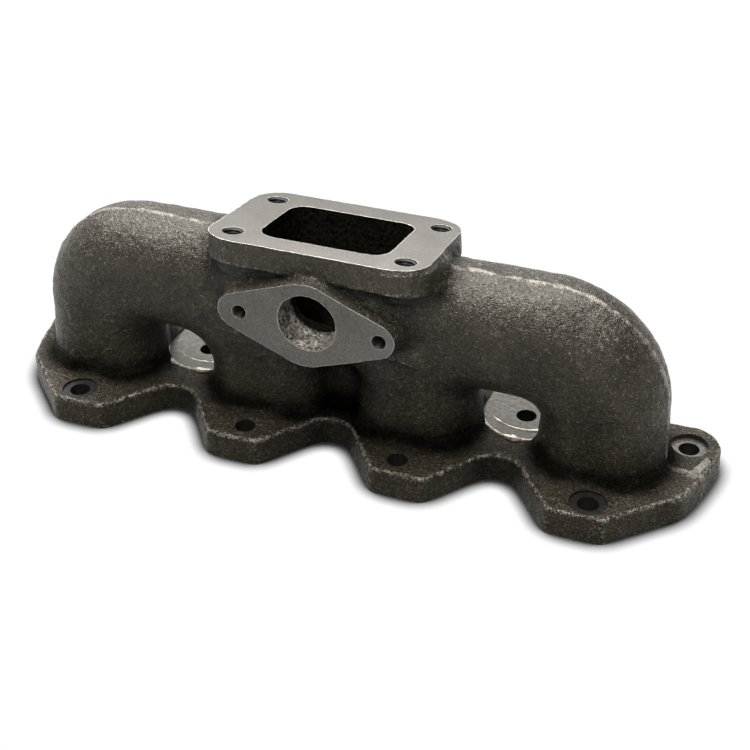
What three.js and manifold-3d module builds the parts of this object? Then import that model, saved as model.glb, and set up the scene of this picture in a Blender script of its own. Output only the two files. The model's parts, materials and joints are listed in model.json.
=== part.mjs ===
// Four-port log exhaust manifold with a turbocharger flange and a wastegate outlet.
//
// The real object is one iron casting. It is drawn here as the regions that a foundry drawing
// names, each a closed solid, meeting its neighbours on shared flat planes.
//
// Millimetres. +X runs along the row of ports, -Y is the side the wastegate outlet faces, and
// +Z points away from the cylinder head. The origin is on the head face, on the line through
// the port centres, midway between ports 2 and 3.

import * as THREE from 'three';
import { ConvexGeometry } from 'three/addons/geometries/ConvexGeometry.js';
import { mergeVertices } from 'three/addons/utils/BufferGeometryUtils.js';
import Module from 'manifold-3d';

const wasm = await Module();
wasm.setup();

// ---- head flange ----
const FLANGE_THICKNESS = 14;
const LOBE_CENTRES_X = [-126, -42, 42, 126];
const LOBE_HALF_WIDTH = 13;
const LOBE_FRONT_Y = -52;
const LOBE_CORNER = 5;
const VALLEY_APEX_Y = -13.4;
const VALLEY_CORNER = 13;
const FLANGE_BACK_Y = 34.3;
// Corners [x, y, radius] of the sloped end; the right end stands a little further out.
const FLANGE_END = [[169, -22, 14], [174.8, -4.7, 20], [183, FLANGE_BACK_Y, 16]];
const RIGHT_END_EXTRA = 1.3;
const FRONT_BOLT_X = [-130.3, -39.1, 39.1, 130.3];
const FRONT_BOLT_Y = -41.4;
const END_BOLTS = [[-165.3, 18], [165.3, 18]];
const PAD_BOLTS = [[-86, 15.5], [86, 15.5]];
const MIDDLE_BOLT = [0, 15.5];
const BOLT_HOLE_RADIUS = 5;
const COUNTERBORE_RADIUS = 9;
const END_COUNTERBORE_DEPTH = 2.4;
const FRONT_COUNTERBORE_DEPTH = 0.8;
const PAD_RADIUS = 21.5;
const PAD_DEPTH = 0.6;
const PAD_CLEARANCE = 19;

// ---- log tube, elbows and runners ----
// The log is taller than it is deep: its round upper and lower edges have their own axes.
const TUBE_RADIUS = 25.5;
const LOG_UPPER_AXIS_Z = 74.6;
const LOG_LOWER_AXIS_Z = 65.5;
const RUNNER_SPANS = [[-161.6, -103.3], [-71, -9], [7.4, 65.6], [97.8, 156.1]];
const LEFT_ELBOW_RADIUS = 28.6;
const RIGHT_ELBOW_RADIUS = 33.5;
// A web closes the narrow space between runners 2 and 3.
const WEB_FRONT_Y = -8;
const WEB_BACK_Y = 0;
const WEB_OVERLAP = 4;

// ---- gas passages, one round-ended section throughout ----
const OUTER_PORT_X = 130.3;
const INNER_PORT_X = 39.1;
const BORE_RADIUS = 19.5;
const BORE_HALF_WIDTH = 21.5;
const BORE_AXIS_Z = 70;
const BORE_ELBOW_RADIUS = 35.5;

// ---- turbocharger flange, a rectangle tipped back about X, its outline a little off its bolts ----
const TURBO_CENTRE = new THREE.Vector3(-6.1, 1.4, 105.7);
const TURBO_TILT = THREE.MathUtils.degToRad(9.2);
const TURBO_LENGTH = 106.4;
const TURBO_OUTLINE_SHIFT = -1;
const TURBO_DEPTH = 76.8;
const TURBO_CORNER = 16;
const TURBO_THICKNESS = 12;
const TURBO_BOLT_X = 42;
const TURBO_BOLT_Y = 25.5;
const TURBO_BOLT_RADIUS = 4.6;
const MOUTH_LENGTH = 63.3;
const MOUTH_DEPTH = 48.9;
const MOUTH_CORNER = 9;
const PASSAGE_FOOT_LENGTH = 69;
const PASSAGE_FOOT_DEPTH = 33;
const NECK_INSET = 3.5;
const NECK_FOOT_DEPTH = 46;

// ---- wastegate flange, a two-bolt diamond facing -Y, rolled a little about Y ----
const GATE_CENTRE_X = -3.2;
const GATE_CENTRE_Z = 79.6;
const GATE_OUTLINE_SHIFT = -1.8;
const GATE_ROLL = THREE.MathUtils.degToRad(1.2);
const GATE_FACE_Y = -44.4;
const GATE_THICKNESS = 9.4;
const GATE_BOLT_SPACING = 68;
const GATE_BOLT_RADIUS = 3.25;
const GATE_BOLT_DEPTH = 13.4;
const GATE_BORE_RADIUS = 14.2;
const GATE_BORE_X = -3.8;
const GATE_BORE_Z = 81.3;
const GATE_WAIST_RADIUS = 21.5;
const GATE_TIP_RADIUS = 9.1;
const GATE_NECK_FLARE = 4;

// ---- planes on which the regions meet ----
const ELBOW_CUT_X = 94.8;
const COLLECTOR_LEFT_X = -62;
const COLLECTOR_RIGHT_X = 48;
const RUNNER_TOP_Z = 39.5;
const NECK_FLOOR_Z = 84;
const GATE_NECK_BACK_Y = -27;
const GATE_FLANGE_BACK_Y = GATE_FACE_Y + GATE_THICKNESS;

// ---- fineness and clearances ----
const ROUND_SEGMENTS = 32;
const HOLE_SEGMENTS = 16;
const ELBOW_STEPS = 9;
const CORNER_POINTS = 3;
const GAP = 0.3;
const OVERCUT = 1;
const FAR = 400;

const CAST_IRON = { color: 0x4a443c, roughness: 0.82, metalness: 0.55 };
const MACHINED_IRON = { color: 0x8f8a80, roughness: 0.42, metalness: 0.8 };

// ---------------------------------------------------------------------------------------
// Solids
// ---------------------------------------------------------------------------------------

function toSolid(geometry) {
  const bare = geometry.clone();
  bare.deleteAttribute('normal');
  bare.deleteAttribute('uv');
  const welded = mergeVertices(bare);
  return new wasm.Manifold(new wasm.Mesh({
    numProp: 3,
    vertProperties: new Float32Array(welded.attributes.position.array),
    triVerts: new Uint32Array(welded.index.array),
  }));
}

function toMesh(solid, name, finish) {
  const source = solid.getMesh();
  const geometry = new THREE.BufferGeometry();
  geometry.setAttribute('position', new THREE.BufferAttribute(source.vertProperties, 3));
  geometry.setIndex(new THREE.BufferAttribute(source.triVerts, 1));
  geometry.computeVertexNormals();
  const mesh = new THREE.Mesh(geometry, new THREE.MeshStandardMaterial(finish));
  mesh.name = name;
  return mesh;
}

function joinAll(solids) {
  return solids.reduce((whole, next) => whole.add(next));
}

function box(min, max) {
  const size = max.map((high, axis) => high - min[axis]);
  const geometry = new THREE.BoxGeometry(...size);
  geometry.translate(...max.map((high, axis) => (high + min[axis]) / 2));
  return toSolid(geometry);
}

function extrudeUp(shape, bottom, top, curveSegments = CORNER_POINTS) {
  const geometry = new THREE.ExtrudeGeometry(shape, {
    depth: top - bottom, bevelEnabled: false, curveSegments,
  });
  geometry.translate(0, 0, bottom);
  return geometry;
}

function cylinderUp(radius, x, y, bottom, top, segments = HOLE_SEGMENTS) {
  const geometry = new THREE.CylinderGeometry(radius, radius, top - bottom, segments);
  geometry.rotateX(Math.PI / 2);
  geometry.translate(x, y, (bottom + top) / 2);
  return toSolid(geometry);
}

// An upright column with flat front and back and half-round ends, spanning left to right in X.
function roundEndedColumn(left, right, radius, bottom, top) {
  const outline = roundEndedOutline(left + radius, right - radius, radius);
  return toSolid(extrudeUp(outline, bottom, top, ROUND_SEGMENTS / 4));
}

// ---------------------------------------------------------------------------------------
// Outlines
// ---------------------------------------------------------------------------------------

// A closed outline from corners [x, y, radius], listed anticlockwise, each corner rounded by an arc.
function roundedOutline(corners) {
  const shape = new THREE.Shape();
  corners.forEach(([x, y, radius], index) => {
    const corner = new THREE.Vector2(x, y);
    const before = corners[(index + corners.length - 1) % corners.length];
    const after = corners[(index + 1) % corners.length];
    const inward = new THREE.Vector2(before[0] - x, before[1] - y).normalize();
    const onward = new THREE.Vector2(after[0] - x, after[1] - y).normalize();
    const halfAngle = Math.acos(THREE.MathUtils.clamp(inward.dot(onward), -1, 1)) / 2;
    const start = corner.clone().addScaledVector(inward, radius / Math.tan(halfAngle));
    const middle = inward.clone().add(onward).normalize();
    const centre = corner.clone().addScaledVector(middle, radius / Math.sin(halfAngle));
    const end = corner.clone().addScaledVector(onward, radius / Math.tan(halfAngle));
    const turnsLeft = inward.cross(onward) < 0;
    const startAngle = Math.atan2(start.y - centre.y, start.x - centre.x);
    const endAngle = Math.atan2(end.y - centre.y, end.x - centre.x);
    if (index === 0) {
      shape.moveTo(start.x, start.y);
    } else {
      shape.lineTo(start.x, start.y);
    }
    shape.absarc(centre.x, centre.y, radius, startAngle, endAngle, !turnsLeft);
  });
  shape.closePath();
  return shape;
}

function roundedRectangle(length, depth, radius) {
  const x = length / 2;
  const y = depth / 2;
  return roundedOutline([[-x, -y, radius], [x, -y, radius], [x, y, radius], [-x, y, radius]]);
}

// Two half circles joined by straight sides; their centres lie on the X axis.
function roundEndedOutline(fromX, toX, radius) {
  const shape = new THREE.Shape();
  shape.absarc(toX, 0, radius, -Math.PI / 2, Math.PI / 2, false);
  shape.absarc(fromX, 0, radius, Math.PI / 2, 3 * Math.PI / 2, false);
  shape.closePath();
  return shape;
}

// The diamond of the wastegate flange: one waist circle and two tip circles with common tangents.
function diamondOutline(grow = 0) {
  const half = GATE_BOLT_SPACING / 2;
  const waist = GATE_WAIST_RADIUS + grow;
  const tip = GATE_TIP_RADIUS + grow;
  const tangent = Math.acos((waist - tip) / half);
  const shape = new THREE.Shape();
  shape.absarc(half, 0, tip, -tangent, tangent, false);
  shape.absarc(0, 0, waist, tangent, Math.PI - tangent, false);
  shape.absarc(-half, 0, tip, Math.PI - tangent, Math.PI + tangent, false);
  shape.absarc(0, 0, waist, Math.PI + tangent, 2 * Math.PI - tangent, false);
  shape.closePath();
  return shape;
}

// Front lobes round the front bolts, a rounded valley between neighbours, sloped ends and a
// straight back edge with large corners round the end bolts.
function headFlangeOutline() {
  const rightEnd = FLANGE_END.map(([x, y, radius]) => [x + RIGHT_END_EXTRA, y, radius]);
  const leftEnd = FLANGE_END.map(([x, y, radius]) => [-x, y, radius]).reverse();
  const front = LOBE_CENTRES_X.flatMap((centre, index) => {
    const lobe = [-1, 1].map((side) => [centre + side * LOBE_HALF_WIDTH, LOBE_FRONT_Y, LOBE_CORNER]);
    const nextLobe = LOBE_CENTRES_X[index + 1];
    const valley = [(centre + nextLobe) / 2, VALLEY_APEX_Y, VALLEY_CORNER];
    return nextLobe === undefined ? lobe : [...lobe, valley];
  });
  return roundedOutline([...front, ...rightEnd, ...leftEnd]);
}

// ---------------------------------------------------------------------------------------
// Tubes
// ---------------------------------------------------------------------------------------

// A centre line from port 1 up, along the log and down to port 4. Its elbows are [foot x, radius].
// A tube swept along it has a ring at each station only.
class LogPath extends THREE.Curve {
  constructor(footZ, axisZ, leftElbow, rightElbow) {
    super();
    this.axisZ = axisZ;
    this.stations = [[new THREE.Vector3(leftElbow[0], 0, footZ), new THREE.Vector3(0, 0, 1)]];
    this.addElbow(-1, ...leftElbow);
    this.addElbow(1, ...rightElbow);
    this.stations.push([new THREE.Vector3(rightElbow[0], 0, footZ), new THREE.Vector3(0, 0, -1)]);
  }

  addElbow(side, footX, radius) {
    for (let step = 0; step <= ELBOW_STEPS; step += 1) {
      const along = side < 0 ? step : ELBOW_STEPS - step;
      const angle = (Math.PI / 2) * (along / ELBOW_STEPS);
      const x = footX - side * radius * (1 - Math.cos(angle));
      const z = this.axisZ - radius * (1 - Math.sin(angle));
      const tangent = new THREE.Vector3(Math.sin(angle), 0, -side * Math.cos(angle));
      this.stations.push([new THREE.Vector3(x, 0, z), tangent]);
    }
  }

  station(u) {
    return this.stations[Math.round(u * (this.stations.length - 1))];
  }

  getPointAt(u) {
    return this.station(u)[0].clone();
  }

  getTangentAt(u) {
    return this.station(u)[1].clone();
  }
}

// A tube along a log path. Its section is round, or longer across the path by halfLength each way.
function logTube(radius, halfLength, path) {
  const outline = roundEndedOutline(-halfLength, halfLength, radius).getPoints(ROUND_SEGMENTS / 4);
  const section = new THREE.Shape(outline.map((point) => new THREE.Vector2(-point.y, point.x)));
  return toSolid(new THREE.ExtrudeGeometry(section, {
    steps: path.stations.length - 1,
    extrudePath: path,
  }));
}

// The log's lower half: straight sides down from the tube's axis to a half-round underside.
function logUnderside(left, right) {
  const shape = new THREE.Shape();
  shape.moveTo(LOG_UPPER_AXIS_Z, TUBE_RADIUS);
  shape.absarc(LOG_LOWER_AXIS_Z, 0, TUBE_RADIUS, Math.PI / 2, 3 * Math.PI / 2, false);
  shape.lineTo(LOG_UPPER_AXIS_Z, -TUBE_RADIUS);
  shape.closePath();
  const geometry = extrudeUp(shape, -right, -left, ROUND_SEGMENTS / 4);
  geometry.rotateY(-Math.PI / 2);
  return toSolid(geometry);
}

// ---------------------------------------------------------------------------------------
// Turbocharger side
// ---------------------------------------------------------------------------------------

function turboFrame() {
  const turn = new THREE.Matrix4().makeRotationX(-TURBO_TILT);
  return turn.setPosition(TURBO_CENTRE);
}

// Points of a rounded rectangle in the turbocharger flange's own frame, at one depth below its face.
function turboRing(length, depth, radius, below, shift = 0) {
  const outline = roundedRectangle(length, depth, radius).getPoints(CORNER_POINTS);
  return outline.map((point) => new THREE.Vector3(point.x + shift, point.y, -below)
    .applyMatrix4(turboFrame()));
}

// Points of a level rounded rectangle centred under the turbocharger flange, at height z.
function levelRing(length, depth, radius, z) {
  const outline = roundedRectangle(length, depth, radius).getPoints(CORNER_POINTS);
  return outline.map((point) => new THREE.Vector3(point.x + TURBO_CENTRE.x, point.y, z));
}

function turboNeckBlank() {
  const length = TURBO_LENGTH - 2 * NECK_INSET;
  const depth = TURBO_DEPTH - 2 * NECK_INSET;
  const top = turboRing(length, depth, TURBO_CORNER - NECK_INSET, TURBO_THICKNESS / 2, TURBO_OUTLINE_SHIFT);
  const foot = levelRing(length, NECK_FOOT_DEPTH, TURBO_CORNER, LOG_UPPER_AXIS_Z);
  return toSolid(new ConvexGeometry([...top, ...foot]));
}

function turboPassage() {
  const mouth = turboRing(MOUTH_LENGTH, MOUTH_DEPTH, MOUTH_CORNER, -OVERCUT);
  const foot = levelRing(PASSAGE_FOOT_LENGTH, PASSAGE_FOOT_DEPTH, MOUTH_CORNER, BORE_AXIS_Z);
  return toSolid(new ConvexGeometry([...mouth, ...foot]));
}

function turboPlate(grow = 0) {
  const outline = roundedRectangle(TURBO_LENGTH + 2 * grow, TURBO_DEPTH + 2 * grow, TURBO_CORNER + grow);
  return extrudeUp(outline, -TURBO_THICKNESS - grow, grow).translate(TURBO_OUTLINE_SHIFT, 0, 0);
}

function turboFlange() {
  const mouth = toSolid(extrudeUp(roundedRectangle(MOUTH_LENGTH, MOUTH_DEPTH, MOUTH_CORNER),
    -TURBO_THICKNESS - OVERCUT, OVERCUT));
  const bolts = [-1, 1].flatMap((sideX) => [-1, 1].map((sideY) => cylinderUp(TURBO_BOLT_RADIUS,
    sideX * TURBO_BOLT_X, sideY * TURBO_BOLT_Y, -TURBO_THICKNESS - OVERCUT, OVERCUT)));
  const plate = toSolid(turboPlate()).subtract(joinAll([mouth, ...bolts]));
  const mesh = toMesh(plate, 'turbo_flange', MACHINED_IRON);
  mesh.position.copy(TURBO_CENTRE);
  mesh.rotation.x = -TURBO_TILT;
  return mesh;
}

// ---------------------------------------------------------------------------------------
// Wastegate side
// ---------------------------------------------------------------------------------------

// Turns a solid drawn upwards in plan so that it stands on the wastegate face and runs towards +Y.
function standOnGateFace(geometry) {
  geometry.translate(GATE_OUTLINE_SHIFT, 0, 0);
  geometry.rotateX(-Math.PI / 2);
  geometry.rotateY(GATE_ROLL);
  geometry.translate(GATE_CENTRE_X, GATE_FACE_Y, GATE_CENTRE_Z);
  return toSolid(geometry);
}

function gateFlangeBlank() {
  return standOnGateFace(extrudeUp(diamondOutline(), 0, GATE_THICKNESS + OVERCUT, 2 * CORNER_POINTS));
}

function gateNeckBlank() {
  const ring = (grow, y) => diamondOutline(grow).getPoints(CORNER_POINTS).map((point) => new THREE.Vector3(
    point.x + GATE_OUTLINE_SHIFT, 0, point.y).applyAxisAngle(new THREE.Vector3(0, 1, 0), GATE_ROLL)
    .add(new THREE.Vector3(GATE_CENTRE_X, y, GATE_CENTRE_Z)));
  const front = ring(-GAP, GATE_FACE_Y + GATE_THICKNESS / 2);
  const back = ring(GATE_NECK_FLARE, -BORE_RADIUS);
  return toSolid(new ConvexGeometry([...front, ...back]));
}

function gateDrill(radius, x, z, depth, segments) {
  const geometry = new THREE.CylinderGeometry(radius, radius, depth + OVERCUT, segments);
  geometry.translate(x, GATE_FACE_Y + (depth - OVERCUT) / 2, z);
  return toSolid(geometry);
}

function gatePassages() {
  const bore = gateDrill(GATE_BORE_RADIUS, GATE_BORE_X, GATE_BORE_Z, -GATE_FACE_Y, ROUND_SEGMENTS);
  const half = GATE_BOLT_SPACING / 2;
  const tapped = [-half, half].map((offset) => gateDrill(GATE_BOLT_RADIUS,
    GATE_CENTRE_X + offset * Math.cos(GATE_ROLL), GATE_CENTRE_Z - offset * Math.sin(GATE_ROLL),
    GATE_BOLT_DEPTH, HOLE_SEGMENTS));
  return joinAll([bore, ...tapped]);
}

// ---------------------------------------------------------------------------------------
// Head side
// ---------------------------------------------------------------------------------------

function headMachining() {
  const drill = (radius, [x, y], depth, rise, segments = HOLE_SEGMENTS) => cylinderUp(radius, x, y,
    FLANGE_THICKNESS - depth, FLANGE_THICKNESS + rise, segments);
  const fronts = FRONT_BOLT_X.map((x) => [x, FRONT_BOLT_Y]);
  const holes = [...fronts, ...END_BOLTS, ...PAD_BOLTS, MIDDLE_BOLT].map((bolt) => drill(BOLT_HOLE_RADIUS,
    bolt, FLANGE_THICKNESS + OVERCUT, OVERCUT));
  const frontSeats = [fronts[0], fronts[3]].map((bolt) => drill(COUNTERBORE_RADIUS, bolt,
    FRONT_COUNTERBORE_DEPTH, OVERCUT));
  const endSeats = END_BOLTS.map((bolt) => drill(COUNTERBORE_RADIUS, bolt, END_COUNTERBORE_DEPTH,
    OVERCUT));
  // Each pad is milled in from the back edge of the flange and ends round in front of its bolt.
  const pads = PAD_BOLTS.flatMap(([x, y]) => [
    drill(PAD_RADIUS, [x, y], PAD_DEPTH, PAD_CLEARANCE, ROUND_SEGMENTS),
    box([x - PAD_RADIUS, y, FLANGE_THICKNESS - PAD_DEPTH],
      [x + PAD_RADIUS, FLANGE_BACK_Y + OVERCUT, FLANGE_THICKNESS + PAD_CLEARANCE]),
  ]);
  return joinAll([...holes, ...frontSeats, ...endSeats, ...pads]);
}

// ---------------------------------------------------------------------------------------
// The casting, and its regions
// ---------------------------------------------------------------------------------------

function passages() {
  const path = new LogPath(-OVERCUT, BORE_AXIS_Z, [-OUTER_PORT_X, BORE_ELBOW_RADIUS],
    [OUTER_PORT_X, BORE_ELBOW_RADIUS]);
  const innerPorts = [-INNER_PORT_X, INNER_PORT_X].map((x) => roundEndedColumn(x - BORE_HALF_WIDTH,
    x + BORE_HALF_WIDTH, BORE_RADIUS, -OVERCUT, BORE_AXIS_Z));
  return joinAll([
    logTube(BORE_RADIUS, BORE_HALF_WIDTH - BORE_RADIUS, path),
    ...innerPorts,
    turboPassage(),
    gatePassages(),
    headMachining(),
  ]);
}

// The log with its elbows and the four runners, each runner wider along the row than it is deep.
function tubesBlank() {
  const [first, second, third, fourth] = RUNNER_SPANS;
  const path = new LogPath(FLANGE_THICKNESS, LOG_UPPER_AXIS_Z, [first[0] + TUBE_RADIUS, LEFT_ELBOW_RADIUS],
    [fourth[1] - TUBE_RADIUS, RIGHT_ELBOW_RADIUS]);
  const innerRunners = [second, third].map(([left, right]) => roundEndedColumn(left, right, TUBE_RADIUS,
    FLANGE_THICKNESS, LOG_LOWER_AXIS_Z));
  const innerSides = [first[1] - TUBE_RADIUS, fourth[0] + TUBE_RADIUS];
  const outerRunners = innerSides.map((x) => cylinderUp(TUBE_RADIUS, x, 0, FLANGE_THICKNESS,
    LOG_LOWER_AXIS_Z, ROUND_SEGMENTS));
  const log = [logTube(TUBE_RADIUS, 0, path), logUnderside(...innerSides)];
  const web = box([second[1] - WEB_OVERLAP, WEB_FRONT_Y, FLANGE_THICKNESS],
    [third[0] + WEB_OVERLAP, WEB_BACK_Y, LOG_LOWER_AXIS_Z]);
  return joinAll([...log, ...innerRunners, ...outerRunners, web]);
}

// Everything that stands on the head flange, short of the turbocharger flange.
function upperBlank() {
  const skin = joinAll([tubesBlank(), turboNeckBlank(), gateNeckBlank(), gateFlangeBlank()]);
  const seat = turboPlate(GAP);
  seat.applyMatrix4(turboFrame());
  return skin.subtract(toSolid(seat));
}

// The lowest and highest corners of each region of the upper casting.
const UPPER_REGIONS = {
  runner_1: [[-FAR, -FAR, -FAR], [-ELBOW_CUT_X, FAR, FAR]],
  runner_2: [[-ELBOW_CUT_X, -FAR, -FAR], [0, FAR, RUNNER_TOP_Z]],
  runner_3: [[0, -FAR, -FAR], [ELBOW_CUT_X, FAR, RUNNER_TOP_Z]],
  runner_4: [[ELBOW_CUT_X, -FAR, -FAR], [FAR, FAR, FAR]],
  log_left: [[-ELBOW_CUT_X, -FAR, RUNNER_TOP_Z], [COLLECTOR_LEFT_X, FAR, FAR]],
  log_right: [[COLLECTOR_RIGHT_X, -FAR, RUNNER_TOP_Z], [ELBOW_CUT_X, FAR, FAR]],
  collector: [[COLLECTOR_LEFT_X, GATE_NECK_BACK_Y, RUNNER_TOP_Z], [COLLECTOR_RIGHT_X, FAR, NECK_FLOOR_Z]],
  turbo_neck: [[COLLECTOR_LEFT_X, GATE_NECK_BACK_Y, NECK_FLOOR_Z], [COLLECTOR_RIGHT_X, FAR, FAR]],
  wastegate_neck: [[COLLECTOR_LEFT_X, GATE_FLANGE_BACK_Y, RUNNER_TOP_Z],
    [COLLECTOR_RIGHT_X, GATE_NECK_BACK_Y, FAR]],
  wastegate_flange: [[COLLECTOR_LEFT_X, -FAR, RUNNER_TOP_Z], [COLLECTOR_RIGHT_X, GATE_FLANGE_BACK_Y, FAR]],
};

function headFlange(hollows) {
  const blank = toSolid(extrudeUp(headFlangeOutline(), 0, FLANGE_THICKNESS));
  return toMesh(blank.subtract(hollows), 'head_flange', CAST_IRON);
}

function buildManifold() {
  const hollows = passages();
  const upper = upperBlank().subtract(hollows);
  const group = new THREE.Group();
  group.add(headFlange(hollows));
  for (const [name, [min, max]] of Object.entries(UPPER_REGIONS)) {
    const finish = name === 'wastegate_flange' ? MACHINED_IRON : CAST_IRON;
    group.add(toMesh(upper.intersect(box(min, max)), name, finish));
  }
  group.add(turboFlange());
  return group;
}

export default buildManifold();
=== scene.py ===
"""Looks of a four-port cast-iron exhaust manifold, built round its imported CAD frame.

The casting is made the way a foundry and a machine shop make it. First comes the raw casting, one
signed-distance shape with its fillets, draft, parting line and sand grain. Then cutters mill the
three faces, drill and tap the holes and cut the seats. The finished skin is last divided into the
CAD frame's named regions, one piece for each node. Shapes are worked out in millimetres and placed
in metres.
"""

import json
import math

import bpy
import numpy as np
import openvdb
from mathutils import Matrix, Vector


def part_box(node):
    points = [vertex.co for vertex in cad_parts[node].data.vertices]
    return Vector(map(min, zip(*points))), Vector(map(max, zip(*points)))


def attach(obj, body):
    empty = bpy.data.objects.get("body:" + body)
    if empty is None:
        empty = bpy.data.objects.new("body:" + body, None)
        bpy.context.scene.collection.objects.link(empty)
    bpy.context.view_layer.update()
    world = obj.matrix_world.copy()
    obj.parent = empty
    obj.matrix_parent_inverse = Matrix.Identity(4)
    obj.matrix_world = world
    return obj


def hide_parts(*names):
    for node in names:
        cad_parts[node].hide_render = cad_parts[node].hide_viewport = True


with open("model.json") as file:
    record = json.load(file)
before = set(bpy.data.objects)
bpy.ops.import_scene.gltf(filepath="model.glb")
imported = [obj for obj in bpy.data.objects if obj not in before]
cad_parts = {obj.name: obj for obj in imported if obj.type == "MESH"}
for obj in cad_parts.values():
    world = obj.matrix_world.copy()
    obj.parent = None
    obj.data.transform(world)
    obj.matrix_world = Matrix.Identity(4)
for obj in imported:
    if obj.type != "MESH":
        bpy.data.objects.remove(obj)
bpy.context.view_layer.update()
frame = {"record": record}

MM = 0.001


# ---------------------------------------------------------------------------------------
# Sizes, from the frame where it holds them
# ---------------------------------------------------------------------------------------

def node_box(name):
    """Lowest and highest corner of a CAD node, in millimetres."""
    low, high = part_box(name)
    return np.array(low) / MM, np.array(high) / MM


def mount_point(name):
    """A mount's point, in millimetres, and its outward direction."""
    for mount in frame["record"]["mounts"]:
        if mount["name"] == name:
            return np.array(mount["pos_m"]) / MM, np.array(mount["axis"], float)
    raise KeyError(name)


HEAD_LOW, HEAD_HIGH = node_box("head_flange")
FLANGE_TOP = HEAD_HIGH[2]
FLANGE_FRONT = HEAD_LOW[1]
FLANGE_BACK = HEAD_HIGH[1]

RUNNER_1_LOW, RUNNER_1_HIGH = node_box("runner_1")
RUNNER_2_LOW = node_box("runner_2")[0]
RUNNER_3_HIGH = node_box("runner_3")[1]
RUNNER_4_LOW, RUNNER_4_HIGH = node_box("runner_4")
TUBE_RADIUS = (RUNNER_4_HIGH[1] - RUNNER_4_LOW[1]) / 2
LOG_TOP = RUNNER_4_HIGH[2]
LOG_BOTTOM = 40
LEFT_OPENING = (-103.3, RUNNER_2_LOW[0])
MIDDLE_GAP = (-9, 7.4)
RIGHT_OPENING = (RUNNER_3_HIGH[0], 97.8)
LEFT_OPENING_CORNERS = (10, 15)
MIDDLE_GAP_CORNER = 7
RIGHT_OPENING_CORNERS = (4, 10)
LEFT_ELBOW_CORNER = 54.1
RIGHT_ELBOW_CORNER = 59
FLARE_TOP = 42
FLARE = 0.075
WEB_Y = -4
WEB_HALF_WIDTH = 13
WEB_HALF_THICKNESS = 4
WEB_OVERLAP = 20
WEB_FILLET = 4

BORE_RADIUS = 19.5
BORE_HALF_WIDTH = 21.5
BORE_AXIS_Z = 70
BORE_ELBOW_RADIUS = 35.5
BORE_CORNER = 6
OUTER_PORT_X = 130.3
INNER_PORT_X = 39.1

LOBE_CENTRES = (-126, -42, 42, 126)
LOBE_HALF_WIDTH = 13
LOBE_CORNER = 6
VALLEY_APEX_Y = -13.4
VALLEY_CORNER = 13
FLANGE_END = [(169, -22, 14), (174.8, -4.7, 20), (183, FLANGE_BACK, 16)]
RIGHT_END_EXTRA = 1.3
FRONT_BOLTS = [(x, -41.4) for x in (-130.3, -39.1, 39.1, 130.3)]
END_BOLTS = [(-165.3, 18), (165.3, 18)]
MIDDLE_BOLT = (0, 15.5)
PAD_BOLTS = [(-86, 15.5), (86, 15.5)]
BOLT_RADIUS = 5
HOLE_BREAK = 0.5
COUNTERBORE_RADIUS = 9
COUNTERBORE_DEPTH = 2.4
SEAT_RADIUS = 8.8
SEAT_DEPTH = 0.8
PAD_RADIUS = 21.5
PAD_DEPTH = 0.6
PAD_RAGGEDNESS = 0.022
STEP_SETBACK = 9
STEP_DEPTH = 0.35
PAD_BURR = 1.9
STEP_BURR = 1.1
SCAR_X = 172
SCAR_FIRST_Y = -4
SCAR_PITCH = 3.2

TURBO_POINT, TURBO_NORMAL = mount_point("turbo_face")
TURBO_TILT = math.atan2(TURBO_NORMAL[1], TURBO_NORMAL[2])
TURBO_LOW, TURBO_HIGH = node_box("turbo_flange")
TURBO_LENGTH = TURBO_HIGH[0] - TURBO_LOW[0]
TURBO_THICKNESS = 12
TURBO_DEPTH = (TURBO_HIGH[1] - TURBO_LOW[1] - TURBO_THICKNESS * math.sin(TURBO_TILT)) / math.cos(TURBO_TILT)
TURBO_CENTRE_X = TURBO_POINT[0]
TURBO_OUTLINE_SHIFT = (TURBO_LOW[0] + TURBO_HIGH[0]) / 2 - TURBO_CENTRE_X
TURBO_CENTRE_Y = TURBO_HIGH[1] - TURBO_DEPTH / 2 * math.cos(TURBO_TILT)
TURBO_CENTRE_Z = TURBO_HIGH[2] - TURBO_DEPTH / 2 * math.sin(TURBO_TILT)
TURBO_CORNER = 16
PLATE_DRAFT = 0.12
PLATE_EDGE = 1.6
TURBO_BOLTS = [(x, y) for x in (-42, 42) for y in (-25.5, 25.5)]
MOUTH_LENGTH = 63.3
MOUTH_DEPTH = 48.9
MOUTH_CORNER = 9

GATE_LOW, GATE_HIGH = node_box("wastegate_flange")
GATE_FACE_Y = GATE_LOW[1]
GATE_X = -3.2
GATE_Z = 79.6
GATE_OUTLINE_SHIFT = -1.8
GATE_ROLL = math.radians(1.2)
GATE_HALF_SPACING = 34
GATE_WAIST = 21.5
GATE_TIP = 9.1
GATE_BORE = 14.2
GATE_BORE_X = -3.8
GATE_BORE_Z = 81.3

FLANGE_FILLET = 4.5
FLANGE_EDGE = 1.8
FLANGE_DRAFT = 0.02
ALLOWANCE = 2
LEG_FOOT = -40
NECK_FOOT_Z = 73
NECK_RISE = 20
NECK_FOOT_HALF_DEPTH = 23
NECK_CORNER = 14
NECK_RECESS = 3.5
BOSS_DEPTH = 24
PARTING_Y = -3.5
PARTING_WIDTH = 1.9

SKIN_STEP = 1.0
PASSAGE_STEP = 1.8


# ---------------------------------------------------------------------------------------
# Distance functions: negative inside, millimetres
# ---------------------------------------------------------------------------------------

def round_union(a, b, radius):
    """Union of two shapes with a round fillet where they meet."""
    fillet = np.hypot(np.maximum(radius - a, 0), np.maximum(radius - b, 0))
    return np.maximum(radius, np.minimum(a, b)) - fillet


def round_meet(a, b, radius):
    """Intersection of two shapes with a rounded edge."""
    edge = np.hypot(np.maximum(radius + a, 0), np.maximum(radius + b, 0))
    return np.minimum(-radius, np.maximum(a, b)) + edge


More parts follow.
